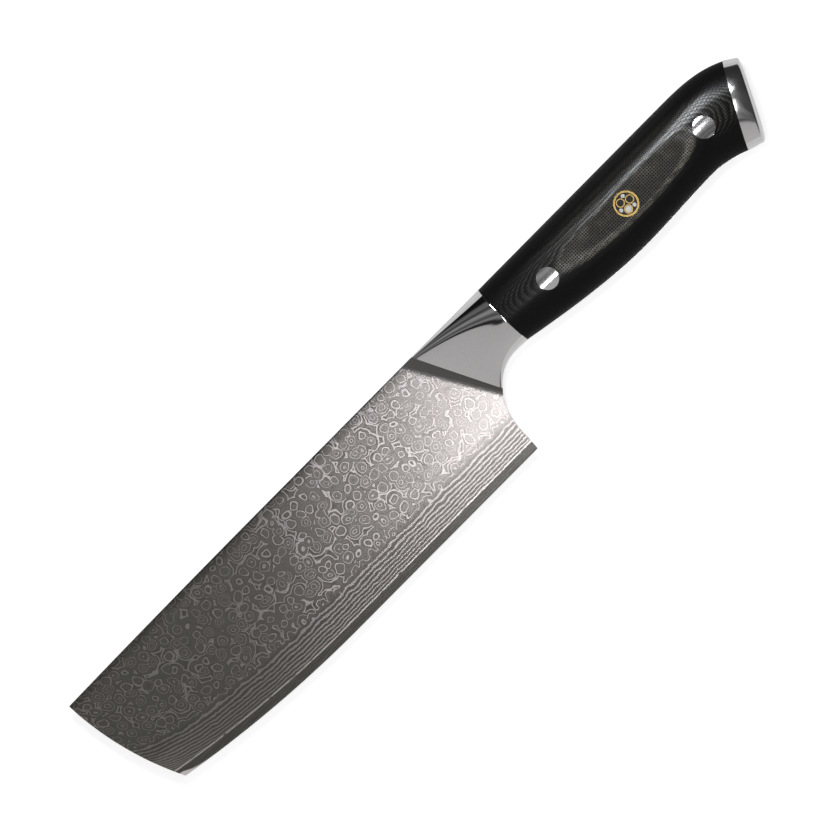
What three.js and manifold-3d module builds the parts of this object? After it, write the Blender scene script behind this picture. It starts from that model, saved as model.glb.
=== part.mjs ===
// A nakiri: a straight-edged vegetable knife with a laminated blade, a forged bolster and full tang,
// two riveted scales, a mosaic pin and a steel cap on the butt. Millimetres, +Z up.
//
// The knife lies on its right side. In the working frame X runs from the tip to the butt and is 0 at the
// front of the scales, Y is 0 on the straight spine and falls towards the edge, and Z is 0 on the mid-plane.
import * as THREE from 'three';
import { mergeVertices } from 'three/addons/utils/BufferGeometryUtils.js';
import Module from 'manifold-3d';

const wasm = await Module();
wasm.setup();

// Blade outline
const bladeLength = 178; // upper tip corner to the heel
const heelReach = 24.4; // heel ahead of the scales
const heelDrop = 22.25; // heel below the lower end of the weld
const edgeFlat = 88; // straight stretch of the edge, from the heel
const edgeRadius = 467; // sweep of the edge from there up to the tip
const spineFall = 0.76; // how far the spine has dropped at the tip
const spineFallLength = 95;
const tipRake = 11.3; // lower tip corner behind the upper one
const tipUpperLean = 0.03; // lean of the front edge at its upper and lower ends
const tipLowerLean = 0.47;
const heelLean = 0.12; // lean of the back edge where it leaves the heel

// Blade section
const coreThickness = 0.7;
const claddingThickness = 0.68;
const bondGap = 0.02;
const bevelDrop = 5.75; // shoulder of the ground bevel below the lower end of the weld
const coreBare = 3.2; // width of the core that the bevel lays bare
const honeHeight = 0.8; // the small bevel that is sharpened
const honeThickness = 0.4;
const edgeThickness = 0.04;
const featherThickness = 0.03; // cladding where it runs out on the core
const spineEase = 0.25; // broken corners of the spine

// Bolster
const weldTopReach = 37; // weld line to the blade, at the spine and at the finger notch
const weldBottomReach = 19;
const weldBottomDepth = 30.6;
const plungeTopLength = 4.3; // from the weld to the crisp border of the polished part
const plungeBottomLength = 0.8;
const borderThickness = 4.4;
const notchSlope = 1.2; // slope of the finger notch at the weld
const shoulderDepth = 24.25; // spine to underside at the scales
const shoulderThickness = 15.2;
const shoulderSlope = -0.08;
const flareRise = 1.85; // steepness of the flare at the border; at 2 it would be level at the shoulder
const flareTurn = 0.8; // below 1, the section turns round early in the flare
const weldGap = 0.1;

// Grip
const bellyReach = 52.5; // deepest point of the belly
const bellyDepth = 30.3;
const bellySlope = -0.178; // slope of the underside at the front of the scales
const waistLength = 32.5; // belly to waist
const waistDepth = 29.3;
const flareLength = 14.4; // waist to the slanted joint with the cap
const backStraight = 88; // back, up to where it begins to fall to the butt
const backBend = 26.9; // from there to the joint with the cap
const jointTopDrop = 4.35;
const jointTopSlope = -0.485;
const jointBottomDepth = 32.35;
const jointBottomSlope = -0.4;
const crownReach = 75; // where the grip is thickest before its sides are faced flat
const crownThickness = 18.9;
const crownSlope = 0.09; // side slope at the shoulder
const gripThickness = 18.6; // over the flats
const jointThickness = 14; // at the upper end of the cap's joint
const jointSideSlope = -0.1;
const gripRoundness = 2.4; // exponent of the section: 2 is an ellipse, more is squarer
const borderRoundness = 14;
const tangThickness = 3;
const glueGap = 0.05;

// End cap
const capTopLength = 4.6; // along the back and along the underside
const capTopDrop = 2.95;
const capBottomLength = 6.5;
const capBottomDrop = 1.9;
const capSideFall = 0.8; // how far each side has bent in at the rear edge
const capEdgeTop = 0.7; // rounding of the rear edge at the back, underside and sides
const capEdgeBottom = 2.6;
const capEdgeSide = 0.9;
const capEdgeShare = 0.3; // part of the cap's length that the rounding takes

// Compression rivets
const frontRivetReach = 20.35;
const frontRivetDepth = 14.25;
const rearRivetInset = 12.3; // ahead of the middle of the cap's joint
const rearRivetDepth = 15.85;
const rivetHeadDiameter = 8;
const rivetBarrelDiameter = 5;
const rivetShankDiameter = 3.2;
const scaleWeb = 3; // scale left under each rivet head
const crushGap = 0.5; // room at the end of the barrel and of the shank
const fitGap = 0.1;

// Mosaic pin, midway between the rivets
const mosaicDepth = 15.35;
const mosaicWall = 0.75;
const innerTubeDiameter = 3.24;
const innerTubeWall = 0.45;
const resinFilm = 0.2; // resin left between neighbours
const castGap = 0.03;
const mosaicTurn = THREE.MathUtils.degToRad(129); // bearing of the first small tube
const mosaicCount = 3;
const brightCore = 2; // the small tube that is filled with bright metal, the others with resin

// Facets
const bladeColumns = 14;
const bevelRows = 3;
const faceRows = 6;
const solvePasses = 40;
const ringPoints = 28;
const plungeRings = 3;
const flareRings = 10;
const gripRings = 18;
const capRings = 6;
const roundSegments = 24;
const cutterSize = 400; // longer than the knife, for saw and mill cuts

const steel = new THREE.MeshStandardMaterial({ color: 0xb4b0ae, roughness: 0.15, metalness: 1 });
const coreSteel = new THREE.MeshStandardMaterial({ color: 0x8d8984, roughness: 0.3, metalness: 1 });
const patternSteel = new THREE.MeshStandardMaterial({ color: 0x6f6a64, roughness: 0.4, metalness: 1 });
const glassLaminate = new THREE.MeshStandardMaterial({ color: 0x1a1a1b, roughness: 0.45, metalness: 0 });
const brass = new THREE.MeshStandardMaterial({ color: 0xcda550, roughness: 0.3, metalness: 1 });
const nickelSilver = new THREE.MeshStandardMaterial({ color: 0xc9c6bf, roughness: 0.25, metalness: 1 });
const blackResin = new THREE.MeshStandardMaterial({ color: 0x0c0c0c, roughness: 0.3, metalness: 0 });

// Values that follow from the sizes above
const { lerp } = THREE.MathUtils;
const coreHalf = coreThickness / 2;
const claddingInner = coreHalf + bondGap;
const bladeHalf = claddingInner + claddingThickness;
const tangHalf = tangThickness / 2;
const scaleInner = tangHalf + glueGap;
const headSeat = scaleInner + scaleWeb;
const beyond = gripThickness; // clear of the grip's sides
const bladeDepth = weldBottomDepth + heelDrop;
const bevelHeight = heelDrop - bevelDrop;
const heelX = -heelReach;
const tipX = heelX - bladeLength;
const sweepX = heelX - edgeFlat;
const borderTopReach = weldTopReach - plungeTopLength;
const borderBottomReach = weldBottomReach - plungeBottomLength;
const waistReach = bellyReach + waistLength;
const jointBottomReach = waistReach + flareLength;
const jointTopReach = backStraight + backBend;
const jointReach = (jointTopReach + jointBottomReach) / 2;

// A smooth line through stations of [place, value, slope], as one cubic between each two
function smoothLine(stations) {
  return (place) => {
    const last = stations.length - 2;
    const next = stations.findIndex((station) => station[0] > place);
    const first = next < 0 ? last : THREE.MathUtils.clamp(next - 1, 0, last);
    const [x0, y0, m0] = stations[first];
    const [x1, y1, m1] = stations[first + 1];
    const span = x1 - x0;
    const t = (place - x0) / span;
    const rise = t * t * (3 - 2 * t);
    return lerp(y0, y1, rise) + span * (m0 * t * (1 - t) ** 2 + m1 * t * t * (t - 1));
  };
}

// Outline of the blade, each edge as a function of x or y
function spineY(x) {
  const fallen = Math.max(0, (tipX + spineFallLength - x) / spineFallLength);
  return -spineFall * fallen ** 2;
}

function edgeY(x) {
  const sweep = Math.max(0, sweepX - x);
  return -bladeDepth + edgeRadius - Math.sqrt(edgeRadius ** 2 - sweep ** 2);
}

const lowerTipY = edgeY(tipX + tipRake);
const tipLine = smoothLine([
  [lowerTipY, tipX + tipRake, -tipLowerLean],
  [-spineFall, tipX, -tipUpperLean],
]);
const heelLine = smoothLine([
  [-bladeDepth, heelX, heelLean],
  [-weldBottomDepth, -weldBottomReach, 1 / notchSlope],
]);

function weldX(y) {
  return lerp(-weldTopReach, -weldBottomReach, -y / weldBottomDepth);
}

function bladeBackX(y) {
  const line = y < -weldBottomDepth ? heelLine(y) : weldX(y);
  return line - weldGap;
}

// Rows of the blade: levels above the edge up to the bevel's shoulder, then shares of the face above it
const bevelLevels = [0, honeHeight, coreBare];
for (let row = 1; row <= bevelRows; row += 1) {
  bevelLevels.push(lerp(coreBare, bevelHeight, row / bevelRows));
}
const weldCorner = (bladeDepth - bevelHeight - weldBottomDepth) / (bladeDepth - bevelHeight);
const faceShares = [weldCorner];
for (let row = 1; row < faceRows; row += 1) {
  faceShares.push(lerp(weldCorner, 1, row / faceRows));
}

function bladeRow(heightAt, level, ease = 0) {
  const solve = (border, start) => {
    let x = start;
    for (let pass = 0; pass < solvePasses; pass += 1) {
      x = border(heightAt(x));
    }
    return x;
  };
  const front = solve(tipLine, tipX);
  const back = solve(bladeBackX, heelX);
  const points = [];
  for (let column = 0; column <= bladeColumns; column += 1) {
    const x = lerp(front, back, column / bladeColumns);
    points.push({ x, y: heightAt(x), level, ease });
  }
  return points;
}

const faceY = (x, share) => lerp(edgeY(x) + bevelHeight, spineY(x), share);
const bladeRows = [
  ...bevelLevels.map((level) => bladeRow((x) => edgeY(x) + level, level)),
  ...faceShares.map((share) => bladeRow((x) => faceY(x, share), bevelHeight)),
  bladeRow((x) => spineY(x) - spineEase, bevelHeight),
  bladeRow(spineY, bevelHeight, spineEase),
];

// Half thickness of the core and of the whole blade at a point of a row
function coreSide({ level }) {
  if (level <= honeHeight) {
    return lerp(edgeThickness, honeThickness, level / honeHeight) / 2;
  }
  const share = Math.min(1, (level - honeHeight) / (coreBare - honeHeight));
  return lerp(honeThickness / 2, coreHalf, share);
}

function bladeSide({ level, ease }) {
  const share = (level - coreBare) / (bevelHeight - coreBare);
  return lerp(claddingInner + featherThickness, bladeHalf, share) - ease;
}

// A closed plate over rows of points, with a lower and an upper z at each point
function plate(rows, lowAt, highAt) {
  const columns = rows[0].length;
  const points = rows.flat();
  const positions = [];
  for (const heightAt of [lowAt, highAt]) {
    for (const point of points) {
      positions.push(point.x, point.y, heightAt(point));
    }
  }
  const high = points.length;
  const index = [];
  for (let row = 0; row + 1 < rows.length; row += 1) {
    for (let column = 0; column + 1 < columns; column += 1) {
      const a = row * columns + column;
      const b = a + columns;
      index.push(high + a, high + a + 1, high + b + 1, high + a, high + b + 1, high + b);
      index.push(a, b + 1, a + 1, a, b, b + 1);
    }
  }
  const border = [];
  const top = (rows.length - 1) * columns;
  for (let column = 0; column + 1 < columns; column += 1) {
    border.push([column, column + 1], [top + column + 1, top + column]);
  }
  for (let start = 0; start < top; start += columns) {
    const end = start + columns - 1;
    border.push([end, end + columns], [start + columns, start]);
  }
  for (const [p, q] of border) {
    index.push(p, q, high + q, p, high + q, high + p);
  }
  return meshGeometry(positions, index);
}

function meshGeometry(positions, index) {
  const geometry = new THREE.BufferGeometry();
  geometry.setAttribute('position', new THREE.Float32BufferAttribute(positions, 3));
  geometry.setIndex(index);
  geometry.computeVertexNormals();
  return geometry;
}

// A ring of the grip: a superellipse between its top and bottom points, with a half width and an exponent
function ring(top, bottom, halfWidth, exponent) {
  const points = [];
  for (let step = 0; step < ringPoints; step += 1) {
    const turn = (2 * Math.PI * step) / ringPoints;
    const up = Math.sign(Math.cos(turn)) * Math.abs(Math.cos(turn)) ** (2 / exponent);
    const out = Math.sign(Math.sin(turn)) * Math.abs(Math.sin(turn)) ** (2 / exponent);
    const share = (1 - up) / 2;
    points.push([lerp(top[0], bottom[0], share), lerp(top[1], bottom[1], share), halfWidth * out]);
  }
  return points;
}

// A closed body through rings that have the same number of points
function loft(rings) {
  const positions = rings.flat(2);
  const index = [];
  for (let i = 0; i + 1 < rings.length; i += 1) {
    for (let j = 0; j < ringPoints; j += 1) {
      const a = i * ringPoints + j;
      const b = i * ringPoints + ((j + 1) % ringPoints);
      index.push(a, b, b + ringPoints, a, b + ringPoints, a + ringPoints);
    }
  }
  const end = (rings.length - 1) * ringPoints;
  for (let j = 1; j + 1 < ringPoints; j += 1) {
    index.push(0, j + 1, j, end, end + j, end + j + 1);
  }
  return meshGeometry(positions, index);
}

// Lines of the grip: back, underside and half width along X, and the finger notch under the bolster
const backLine = smoothLine([
  [0, 0, 0],
  [backStraight, 0, 0],
  [jointTopReach, -jointTopDrop, jointTopSlope],
]);
const underLine = smoothLine([
  [0, -shoulderDepth, bellySlope],
  [bellyReach, -bellyDepth, 0],
  [waistReach, -waistDepth, 0],
  [jointBottomReach, -jointBottomDepth, jointBottomSlope],
]);
const sideLine = smoothLine([
  [0, shoulderThickness / 2, crownSlope],
  [crownReach, crownThickness / 2, 0],
  [jointTopReach, jointThickness / 2, jointSideSlope],
]);
const notchLine = smoothLine([
  [-weldBottomReach, -weldBottomDepth, notchSlope],
  [0, -shoulderDepth, shoulderSlope],
]);

function gripRing(share) {
  const topX = share * jointTopReach;
  const bottomX = share * jointBottomReach;
  const halfWidth = sideLine((topX + bottomX) / 2);
  return ring([topX, backLine(topX)], [bottomX, underLine(bottomX)], halfWidth, gripRoundness);
}

// The plunge climbs from the weld to the polished border, hollow like the wheel that grinds it
function plungeRing(share) {
  const topX = lerp(-weldTopReach, -borderTopReach, share);
  const bottomX = lerp(-weldBottomReach, -borderBottomReach, share);
  const halfWidth = lerp(bladeHalf, borderThickness / 2, share ** 2);
  return ring([topX, 0], [bottomX, notchLine(bottomX)], halfWidth, borderRoundness);
}

// The flare swells steeply from the border and eases towards the shoulder, while its section turns from
// flat-sided to round
function flareRing(share) {
  const topX = lerp(-borderTopReach, 0, share);
  const bottomX = lerp(-borderBottomReach, 0, share);
  const swell = share * lerp(flareRise, 1, share);
  const halfWidth = lerp(borderThickness, shoulderThickness, swell) / 2;
  const exponent = 1 / lerp(1 / borderRoundness, 1 / gripRoundness, share ** flareTurn);
  return ring([topX, 0], [bottomX, notchLine(bottomX)], halfWidth, exponent);
}

// The cap carries the joint's section on, bends in and rounds off towards its rear face
function capRing(share, roundOff) {
  const top = [lerp(0, capTopLength, share) + jointTopReach, lerp(0, -capTopDrop, share) - jointTopDrop];
  const bottom = [
    lerp(0, capBottomLength, share) + jointBottomReach,
    lerp(0, -capBottomDrop, share) - jointBottomDepth,
  ];
  const height = Math.hypot(top[0] - bottom[0], top[1] - bottom[1]);
  const topCut = (capEdgeTop * roundOff) / height;
  const bottomCut = (capEdgeBottom * roundOff) / height;
  const halfWidth = sideLine(jointReach) - capSideFall * share ** 2 - capEdgeSide * roundOff;
  const along = (cut) => [lerp(top[0], bottom[0], cut), lerp(top[1], bottom[1], cut)];
  return ring(along(topCut), along(1 - bottomCut), halfWidth, gripRoundness);
}

function ringsOver(count, start, end, makeRing) {
  return Array.from({ length: count + 1 }, (_, step) => makeRing(lerp(start, end, step / count)));
}

// Solids for cuts and joins
function solid(geometry) {
  const bare = geometry.clone();
  bare.deleteAttribute('normal');
  bare.deleteAttribute('uv');
  const merged = mergeVertices(bare);
  const corners = merged.getIndex().array;
  const triangles = [];
  for (let i = 0; i < corners.length; i += 3) {
    const [a, b, c] = corners.slice(i, i + 3);
    if (a !== b && b !== c && c !== a) {
      triangles.push(a, b, c);
    }
  }
  const vertProperties = merged.getAttribute('position').array;
  const triVerts = Uint32Array.from(triangles);
  return new wasm.Manifold(new wasm.Mesh({ numProp: 3, vertProperties, triVerts }));
}

function geometryOf(body) {
  const mesh = body.getMesh();
  return meshGeometry(Array.from(mesh.vertProperties), Array.from(mesh.triVerts));
}

// A block of space between two heights, over the whole knife or from a given front on, to saw and mill with
function layer(low, high, front = -cutterSize / 2) {
  const back = front + cutterSize;
  const box = new THREE.BoxGeometry(back - front, cutterSize, high - low);
  return solid(box.translate((front + back) / 2, 0, (low + high) / 2));
}

function turned(profile) {
  const points = profile.map(([radius, z]) => new THREE.Vector2(radius, z));
  return new THREE.LatheGeometry(points, roundSegments).rotateX(Math.PI / 2);
}

function rod(diameter, low, high) {
  const radius = diameter / 2;
  return turned([[0, low], [radius, low], [radius, high], [0, high]]);
}

function pipe(diameter, wall, low, high) {
  const outer = diameter / 2;
  const inner = outer - wall;
  return turned([[inner, low], [outer, low], [outer, high], [inner, high], [inner, low]]);
}

function drill(diameter, { reach, depth }, low = -beyond, high = beyond) {
  return solid(rod(diameter, low, high).translate(reach, -depth, 0));
}

// The whole grip with its faced sides, from which scales are sawn and against which pins are ground flush
const flats = layer(-gripThickness / 2, gripThickness / 2);
const grip = solid(loft(ringsOver(gripRings, fitGap / jointTopReach, 1, gripRing))).intersect(flats);
const flush = (geometry) => geometryOf(solid(geometry).intersect(grip));

const rivets = [
  { name: 'front', reach: frontRivetReach, depth: frontRivetDepth },
  { name: 'rear', reach: jointReach - rearRivetInset, depth: rearRivetDepth },
];
const mosaicPlace = { reach: (rivets[0].reach + rivets[1].reach) / 2, depth: mosaicDepth };

// The small tubes stand clear of each other by a film of resin, and the bore clears them by the same film.
// Each plain rod is the largest that leaves that film to two tubes and the bore.
const innerTubeRadius = innerTubeDiameter / 2;
const innerTubeCircle = (innerTubeRadius + resinFilm / 2) / Math.sin(Math.PI / mosaicCount);
const mosaicBore = 2 * (innerTubeCircle + innerTubeRadius + resinFilm);
const mosaicDiameter = mosaicBore + 2 * mosaicWall;
const rodRoom = mosaicBore / 2 - resinFilm;
const rodStand = innerTubeRadius + resinFilm;
const tubeReach = 2 * innerTubeCircle * Math.cos(Math.PI / mosaicCount);
const rodSquares = rodRoom ** 2 + innerTubeCircle ** 2 - rodStand ** 2;
const mosaicRodRadius = (rodSquares - tubeReach * rodRoom) / (2 * rodRoom - tubeReach + 2 * rodStand);
const mosaicRodCircle = rodRoom - mosaicRodRadius;

function makeForging() {
  const rings = [
    ...ringsOver(plungeRings, 0, 1, plungeRing),
    ...ringsOver(flareRings, 0, 1, flareRing).slice(1),
    ...ringsOver(gripRings, 0, 1, gripRing).slice(1),
  ];
  let forging = solid(loft(rings));
  forging = forging.subtract(layer(tangHalf, cutterSize / 2, 0));
  forging = forging.subtract(layer(-cutterSize / 2, -tangHalf, 0));
  for (const rivet of rivets) {
    forging = forging.subtract(drill(rivetBarrelDiameter + 2 * fitGap, rivet));
  }
  return geometryOf(forging.subtract(drill(mosaicDiameter + 2 * fitGap, mosaicPlace)));
}

function makeScale(side) {
  const half = side > 0 ? layer(scaleInner, beyond) : layer(-beyond, -scaleInner);
  let scale = grip.intersect(half);
  const seat = headSeat - fitGap;
  const counterbore = side > 0 ? [seat, beyond] : [-beyond, -seat];
  for (const rivet of rivets) {
    scale = scale.subtract(drill(rivetHeadDiameter + 2 * fitGap, rivet, ...counterbore));
    scale = scale.subtract(drill(rivetBarrelDiameter + 2 * fitGap, rivet));
  }
  return geometryOf(scale.subtract(drill(mosaicDiameter + 2 * fitGap, mosaicPlace)));
}

function makeCap() {
  const rings = [capRing(0, 0)];
  for (let step = 0; step <= capRings; step += 1) {
    const turn = (Math.PI / 2) * (step / capRings);
    rings.push(capRing(1 - capEdgeShare * (1 - Math.sin(turn)), 1 - Math.cos(turn)));
  }
  return loft(rings).translate(weldGap, 0, 0);
}

// The female half's barrel takes the male half's shank, and each head seats on its scale's web
const headRadius = rivetHeadDiameter / 2;
const barrelRadius = rivetBarrelDiameter / 2;
const shankRadius = rivetShankDiameter / 2;

function makeFemaleRivet({ reach, depth }) {
  const barrelEnd = -headSeat + crushGap;
  const boreRadius = shankRadius + fitGap;
  const profile = [
    [0, headSeat],
    [boreRadius, headSeat],
    [boreRadius, barrelEnd],
    [barrelRadius, barrelEnd],
    [barrelRadius, headSeat],
    [headRadius, headSeat],
    [headRadius, beyond],
    [0, beyond],
  ];
  return flush(turned(profile).translate(reach, -depth, 0));
}

function makeMaleRivet({ reach, depth }) {
  const profile = [
    [0, -beyond],
    [headRadius, -beyond],
    [headRadius, -headSeat],
    [shankRadius, -headSeat],
    [shankRadius, headSeat - crushGap],
    [0, headSeat - crushGap],
  ];
  return flush(turned(profile).translate(reach, -depth, 0));
}

// Pieces of the mosaic pin: small tubes and rods take turns round its middle
const onCircle = (radius, step) => {
  const turn = mosaicTurn + (Math.PI * step) / mosaicCount;
  return {
    reach: mosaicPlace.reach + radius * Math.cos(turn),
    depth: mosaicPlace.depth - radius * Math.sin(turn),
  };
};
const mosaicPlaces = Array.from({ length: mosaicCount }, (_, count) => ({
  tube: onCircle(innerTubeCircle, 2 * count),
  rod: onCircle(mosaicRodCircle, 2 * count + 1),
}));

function makeTube(diameter, wall, { reach, depth }) {
  return flush(pipe(diameter, wall, -beyond, beyond).translate(reach, -depth, 0));
}

function makeRod(diameter, { reach, depth }) {
  return flush(rod(diameter, -beyond, beyond).translate(reach, -depth, 0));
}

function makeMosaicResin() {
  let resin = drill(mosaicBore - 2 * castGap, mosaicPlace).intersect(grip);
  for (const place of mosaicPlaces) {
    resin = resin.subtract(drill(innerTubeDiameter + 2 * castGap, place.tube));
    resin = resin.subtract(drill(2 * (mosaicRodRadius + castGap), place.rod));
  }
  return geometryOf(resin);
}

// Assembly
function piece(name, geometry, material) {
  const mesh = new THREE.Mesh(geometry, material);
  mesh.name = name;
  return mesh;
}

const claddingRows = bladeRows.slice(bevelLevels.indexOf(coreBare));
const otherSide = (side) => (point) => -side(point);
const blade = new THREE.Group();
blade.add(
  piece('blade_core', plate(bladeRows, otherSide(coreSide), coreSide), coreSteel),
  piece('cladding_left', plate(claddingRows, () => claddingInner, bladeSide), patternSteel),
  piece('cladding_right', plate(claddingRows, otherSide(bladeSide), () => -claddingInner), patternSteel),
);

const handle = new THREE.Group();
handle.add(
  piece('bolster_tang', makeForging(), steel),
  piece('end_cap', makeCap(), steel),
  piece('scale_left', makeScale(1), glassLaminate),
  piece('scale_right', makeScale(-1), glassLaminate),
);
for (const rivet of rivets) {
  handle.add(
    piece(`${rivet.name}_rivet_female`, makeFemaleRivet(rivet), steel),
    piece(`${rivet.name}_rivet_male`, makeMaleRivet(rivet), steel),
  );
}

const mosaic = new THREE.Group();
mosaic.add(piece('mosaic_pin_tube', makeTube(mosaicDiameter, mosaicWall, mosaicPlace), brass));
mosaicPlaces.forEach((place, index) => {
  const count = index + 1;
  const coreDiameter = innerTubeDiameter - 2 * (innerTubeWall + castGap);
  const coreMaterial = count === brightCore ? nickelSilver : blackResin;
  mosaic.add(
    piece(`mosaic_inner_tube_${count}`, makeTube(innerTubeDiameter, innerTubeWall, place.tube), brass),
    piece(`mosaic_inner_core_${count}`, makeRod(coreDiameter, place.tube), coreMaterial),
    piece(`mosaic_rod_${count}`, makeRod(2 * mosaicRodRadius, place.rod), nickelSilver),
  );
});
mosaic.add(piece('mosaic_resin', makeMosaicResin(), blackResin));

// The origin is under the middle of the knife as it lies
const knife = new THREE.Group();
knife.add(blade, handle, mosaic);
const box = new THREE.Box3().setFromObject(knife);
knife.position.set(-(box.min.x + box.max.x) / 2, -(box.min.y + box.max.y) / 2, -box.min.z);

export default knife;
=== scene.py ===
"""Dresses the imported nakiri: fine surfaces and finishes for its blade, bolster, grip, cap and pins.

Shapes are worked out in millimetres in the knife's working frame: X runs from the tip to the butt and is 0 at
the front of the scales, Y is 0 on the straight spine and falls towards the edge, and Z is 0 on the mid-plane.
Meshes, properties and shaders are in metres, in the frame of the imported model.
"""

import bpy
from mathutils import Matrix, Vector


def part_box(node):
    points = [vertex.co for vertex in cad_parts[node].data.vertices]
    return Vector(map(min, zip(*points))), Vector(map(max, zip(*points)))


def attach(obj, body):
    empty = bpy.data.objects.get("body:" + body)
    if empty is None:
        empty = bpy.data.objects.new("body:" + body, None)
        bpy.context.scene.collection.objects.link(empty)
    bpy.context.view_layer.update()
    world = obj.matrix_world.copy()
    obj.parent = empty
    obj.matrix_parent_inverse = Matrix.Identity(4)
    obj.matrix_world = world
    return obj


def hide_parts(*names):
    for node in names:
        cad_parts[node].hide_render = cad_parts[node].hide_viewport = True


bl_info = {
    "name": "Nakiri Knife",
    "version": (1, 0, 0),
    "blender": (4, 5, 0),
    "location": "View3D > Sidebar > Knife",
    "description": "Makes the fine surfaces and finishes of a nakiri round its packed solids",
    "category": "Object",
}

import math

import bmesh
import bpy
import numpy as np
from bpy.props import FloatProperty, FloatVectorProperty, IntProperty, PointerProperty
from bpy.types import Operator, Panel, PropertyGroup
from mathutils import Matrix

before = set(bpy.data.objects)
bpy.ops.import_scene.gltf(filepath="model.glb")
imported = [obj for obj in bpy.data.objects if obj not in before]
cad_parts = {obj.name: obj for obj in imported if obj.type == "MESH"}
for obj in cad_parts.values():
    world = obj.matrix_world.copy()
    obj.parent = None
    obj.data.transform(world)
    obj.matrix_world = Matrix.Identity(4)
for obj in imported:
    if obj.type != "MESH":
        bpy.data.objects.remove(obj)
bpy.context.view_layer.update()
BODY = "root"
MM = 0.001

# Blade outline
HEEL_X = -24.4
TIP_X = HEEL_X - 178
EDGE_FLAT = 88
EDGE_RADIUS = 467
SWEEP_X = HEEL_X - EDGE_FLAT
SPINE_FALL = 0.76
SPINE_FALL_LENGTH = 95
TIP_RAKE = 11.3
TIP_UPPER_LEAN = 0.03
TIP_LOWER_LEAN = 0.47
HEEL_LEAN = 0.12

# Blade section, as half thicknesses and levels above the edge
CORE_HALF = 0.35
CLADDING_INNER = 0.37
BLADE_HALF = 1.05
FEATHER = 0.03
EDGE_HALF = 0.02
BARE_LEVEL = 3.2
BEVEL_LEVEL = 16.5
WEDGE_SLOPE = 0.0625
HONE_SLOPE = 0.7
TIP_BEVEL = 10.5
TIP_BEVEL_REACH = 45
TIP_HONE_SLOPE = 0.13
TIP_HONE_REACH = 14
SPINE_EASE = 0.12

# Blade pattern: levels where its lines give way to rings, and how far it swings down behind the tip
RING_LEVELS = (12.3, 14.8)
ROWS_TOP = 15.0
TIP_SWING = 5.0
TIP_SWING_REACH = 9.0

# Bolster
WELD_TOP_X = -37
WELD_BOTTOM_X = -19
WELD_DEPTH = 30.6
WELD_GAP = 0.1
PLUNGE_TOP = 4.3
PLUNGE_BOTTOM = 0.8
BORDER_HALF = 2.2
WELD_ROUNDNESS = 14
BORDER_ROUNDNESS = 4.5
FLARE_RISE = 1.72
FLARE_TURN = 1.2
JOINT_EASE = 0.07
JOINT_EASE_SHARE = 0.014
NOTCH_SLOPE = 1.2
SHOULDER_DEPTH = 24.25
SHOULDER_HALF = 7.6
SHOULDER_SLOPE = -0.08
BLADE_DEPTH = WELD_DEPTH + 22.25

# Grip
BELLY = (52.5, -30.3)
BELLY_SLOPE = -0.178
WAIST = (85, -29.3)
JOINT_BOTTOM = (99.4, -32.35)
JOINT_BOTTOM_SLOPE = -0.4
BACK_STRAIGHT = 88
JOINT_TOP = (114.9, -4.35)
JOINT_TOP_SLOPE = -0.485
JOINT_REACH = (JOINT_TOP[0] + JOINT_BOTTOM[0]) / 2
CROWN_FRONT = (45, 9.53)
CROWN_FRONT_SLOPE = 0.01
CROWN_REAR = (82, 9.52)
CROWN_REAR_SLOPE = -0.02
SHOULDER_SIDE_SLOPE = 0.1
JOINT_HALF = 7
JOINT_SIDE_SLOPE = -0.1
GRIP_HALF = 9.3
FLAT_BLEND = 0.2
ROUNDNESS = 2.4
TANG_HALF = 1.5
SCALE_INNER = 1.55
FIT_GAP = 0.1

# End cap
CAP_TOP = (4.6, -2.95)
CAP_BOTTOM = (6.5, -1.9)
CAP_SIDE_FALL = 0.8
CAP_FALL_START = 0.25
CAP_EDGE_TOP = 0.7
CAP_EDGE_BOTTOM = 2.6
CAP_EDGE_SIDE = 0.5
CAP_EDGE_SHARE = 0.16
CAP_INSET = 0.04

# Rivets and mosaic pin, as places of (reach, depth)
FRONT_RIVET = (20.35, -14.25)
REAR_RIVET = (JOINT_REACH - 12.3, -15.85)
MOSAIC_PIN = ((FRONT_RIVET[0] + REAR_RIVET[0]) / 2, -15.35)
HEAD_RADIUS = 4
HEAD_SEAT = 4.55
HEAD_CROWN = 0.18
HEAD_RINGS = 8
SHANK_RADIUS = 2.5
MOSAIC_WALL = 0.75
INNER_RADIUS = 1.62
INNER_WALL = 0.45
RESIN_FILM = 0.2
CAST_GAP = 0.03
MOSAIC_TURN = math.radians(129)
MOSAIC_COUNT = 3
# The small tube whose core is nickel silver instead of black resin, a painted highlight
GLINT_CORE = 2
PIN_EASE = 0.04

# Cells of the grip's side: a patch reaches this many radii from a hole's middle along the grip, and lies
# between two shares of its depth. Rows crowd towards the back and the underside by a power.
PATCH_REACH = 1.45
PATCH_TOP = 0.29
PATCH_BOTTOM = 0.75
ROW_CROWDING = 2.6

# Passes of a search that finds two values by turns
SOLVE_PASSES = 40

# Stage: places in the working frame, and sizes in metres
VIEW_CENTRE = (-46.16, -15.36, 0)
KEY_SPOT = (6, -44.1, 500)
KEY_SIZE = (0.226, 0.036)
SOFTBOX_SPOT = (106, 195, 600)
SOFTBOX_SIZE = (0.208, 0.21)
FLOOR_REACH = 10.0

# The working frame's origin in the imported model
core_low, core_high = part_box("blade_core")
forging_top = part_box("bolster_tang")[1].y
ORIGIN = np.array((core_low.x / MM - TIP_X, forging_top / MM, (core_low.z + core_high.z) / 2 / MM))


# Settings that a user would change
def length(name, description, default):
    """A length in metres."""
    return FloatProperty(
        name=name, description=description, default=default, min=0, precision=5, subtype="DISTANCE"
    )


def share(name, description, default, most=1.0):
    """A number from 0 up to a limit."""
    return FloatProperty(name=name, description=description, default=default, min=0, max=most, precision=3)


def angle(name, description, degrees):
    """An angle, given in degrees."""
    return FloatProperty(
        name=name, description=description, default=math.radians(degrees), precision=3, subtype="ANGLE"
    )


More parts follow.
